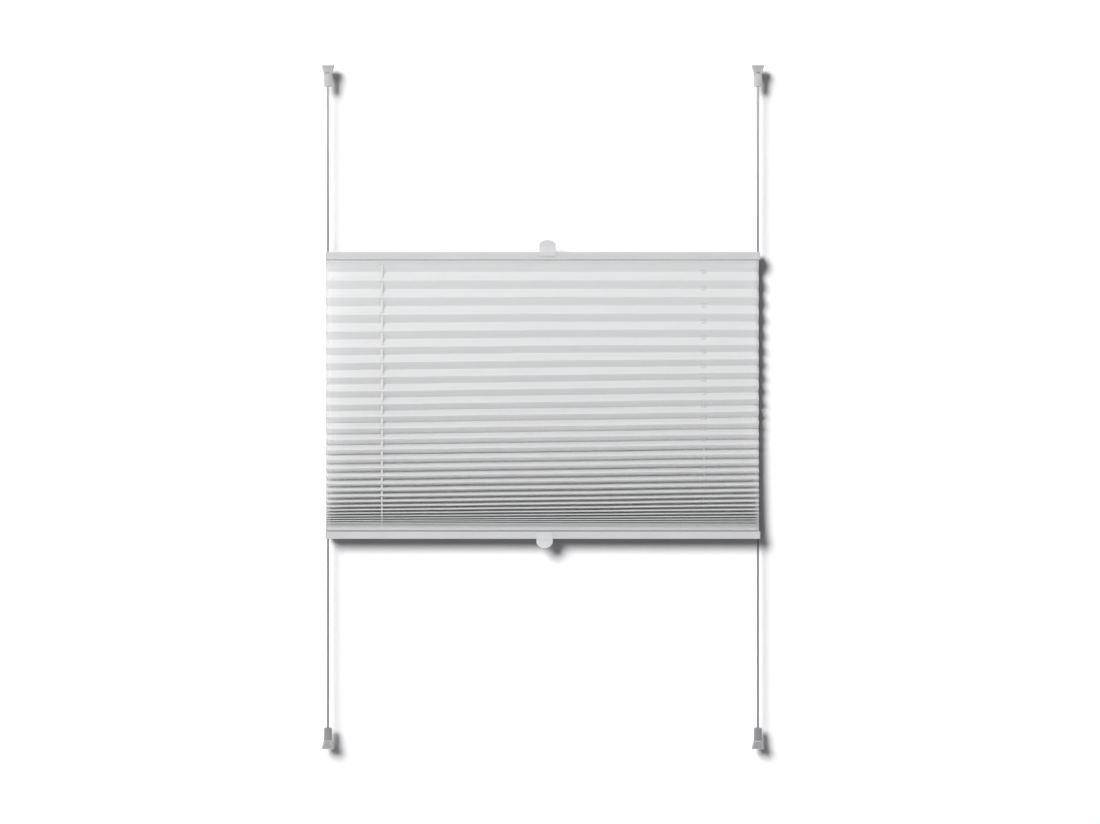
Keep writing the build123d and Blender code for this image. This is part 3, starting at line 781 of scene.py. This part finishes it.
def nudge_to(x):
    """How far the nearest cell's middle is from x."""
    cell = math.floor((x - fabric_left) / cell_width)
    return x - (fabric_left + (cell + 0.5) * cell_width)


pleated_sheet = pleat_tree()
cloth_white = cloth_finish()
pleat_values = {
    "Across": cells_across,
    "Left": fabric_left,
    "Width": fabric_width,
    "Face": pleat_face,
    "Open Pitch": open_pitch,
    "Stack Pitch": stack_pitch,
    "Closing Pleats": float(closing_pleats),
    "Pitch Scale": pitch_scale,
    "First Crease": first_crease_z,
    "Last Crease": last_crease_z,
    "Hole X": guide_x,
    "Hole Y": guide_y,
    "Left Nudge": nudge_to(-guide_x),
    "Right Nudge": nudge_to(guide_x),
    "Left Droop": left_droop,
    "Right Lift": right_lift,
    "Waviness": waviness,
    "Loop": loop_radius,
    "Finish": cloth_white,
}
upper_faces = 29
for name, first_face, faces, strip, end_faces, ends in (
    ("upper_pleats", 0, upper_faces, "top_fabric_strip", top_end_faces,
     ("upper_rail_set", "window_fixings", top_tab_z, meeting_z)),
    ("lower_pleats", upper_faces, crease_total - 1 - upper_faces, "bottom_fabric_strip", bottom_end_faces,
     ("window_fixings", "lower_rail_set", meeting_z, bottom_tab_z)),
):
    fabric = grown(name, pleated_sheet, {**pleat_values, "First Face": first_face, "Faces": faces})
    punch_cord_holes(fabric)
    solid = fabric.modifiers.new("thickness", "SOLIDIFY")
    solid.thickness = sheet_thickness
    solid.offset = 0.0
    settle(fabric)
    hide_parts("pleated_fabric")
    even_blend(fabric, *ends, levels=[entry.value for entry in fabric.data.attributes["hang"].data])

# ---- Handles --------------------------------------------------------------------------------------
# A moulded grip clipped over each rail's room-side edge, hollowed for a fingertip. The plastic is a
# cleaner white than the rails, with a fine spark-eroded grain.
handle_light = (0.68, 0.68, 0.685)
handle_dark = (0.64, 0.64, 0.645)
handle_plastic = moulded("handle_plastic", handle_light, handle_dark, 0.4, 1900, 0.000018, gloss=0.5)
coat(handle_plastic, "top_handle", "bottom_handle")

# ---- Studio ---------------------------------------------------------------------------------------
# A wall close behind the blind takes its shadow, over a pale floor. The wall can be seen only from the
# room. A soft light stands up and to the left, a weak one low in front, and a sun lights the wall alone.


def stage_plane(name, corners, colour, one_sided=False):
    """A large flat sheet with a faint mottle."""
    mesh = bpy.data.meshes.new(name)
    mesh.from_pydata(corners, [], [(0, 1, 2, 3)])
    plane = bpy.data.objects.new(name, mesh)
    bpy.context.scene.collection.objects.link(plane)
    material = moulded(name, colour, tuple(0.985 * c for c in colour), 0.9, 40, 0.0, patch=2.0, gloss=0.0)
    mesh.materials.append(material)
    if one_sided:
        tree = material.node_tree
        side = step(tree, "ShaderNodeNewGeometry")
        clear = step(tree, "ShaderNodeBsdfTransparent")
        wall_shader = tree.nodes["Principled BSDF"].outputs[0]
        either = step(tree, "ShaderNodeMixShader", side.outputs["Backfacing"], wall_shader, clear.outputs[0])
        tree.links.new(either.outputs[0], tree.nodes["Material Output"].inputs["Surface"])
    return plane


wall_y = 0.024
floor_z = -1.62
wall = stage_plane(
    "wall",
    [(-4, wall_y, floor_z), (4, wall_y, floor_z), (4, wall_y, 3), (-4, wall_y, 3)],
    (0.22, 0.22, 0.223),
    one_sided=True,
)
stage_plane(
    "floor", [(-8, -8, floor_z), (8, -8, floor_z), (8, 8, floor_z), (-8, 8, floor_z)], (0.78, 0.78, 0.78)
)


def lamp(name, kind, spot, aim, energy, size, only=None):
    """A light at spot, turned to aim, which may be kept to one receiver."""
    data = bpy.data.lights.new(name, kind)
    data.energy = energy
    if kind == "AREA":
        data.shape = "DISK"
        data.size = size
    else:
        data.angle = size
    light = bpy.data.objects.new(name, data)
    bpy.context.scene.collection.objects.link(light)
    light.location = spot
    light.rotation_euler = (Vector(aim) - Vector(spot)).to_track_quat("-Z", "Y").to_euler()
    if only is not None:
        receivers = bpy.data.collections.new(f"{name}_receivers")
        receivers.objects.link(only)
        light.light_linking.receiver_collection = receivers
    return light


lamp("key", "AREA", (-1.9, -4.0, 2.2), (0, 0, -0.6), 122, 1.6)
lamp("low_fill", "AREA", (0.2, -3.6, -2.0), (0, 0, -0.6), 12, 1.4)
lamp("wall_light", "SUN", (-0.68, -1.0, 0.60), (0, 0, 0), 16.0, math.radians(28), only=wall)

world = bpy.data.worlds.new("studio")
world.use_nodes = True
world.node_tree.nodes["Background"].inputs["Color"].default_value = (0.97, 0.98, 1.0, 1)
world.node_tree.nodes["Background"].inputs["Strength"].default_value = 0.62
bpy.context.scene.world = world

# ---- Camera ---------------------------------------------------------------------------------------
# Straight in front of the blind at half its height, about six metres from the rails.
camera_distance = 6.0
view_width = 2.025
camera = bpy.data.objects.new("camera", bpy.data.cameras.new("camera"))
camera.data.sensor_width = 36.0
camera.data.lens = camera.data.sensor_width * camera_distance / view_width
camera.location = (0.0129, -camera_distance - 0.012, -0.639)
camera.rotation_euler = (math.pi / 2, 0, 0)
bpy.context.scene.collection.objects.link(camera)
bpy.context.scene.camera = camera
bpy.context.scene.view_settings.view_transform = "Standard"
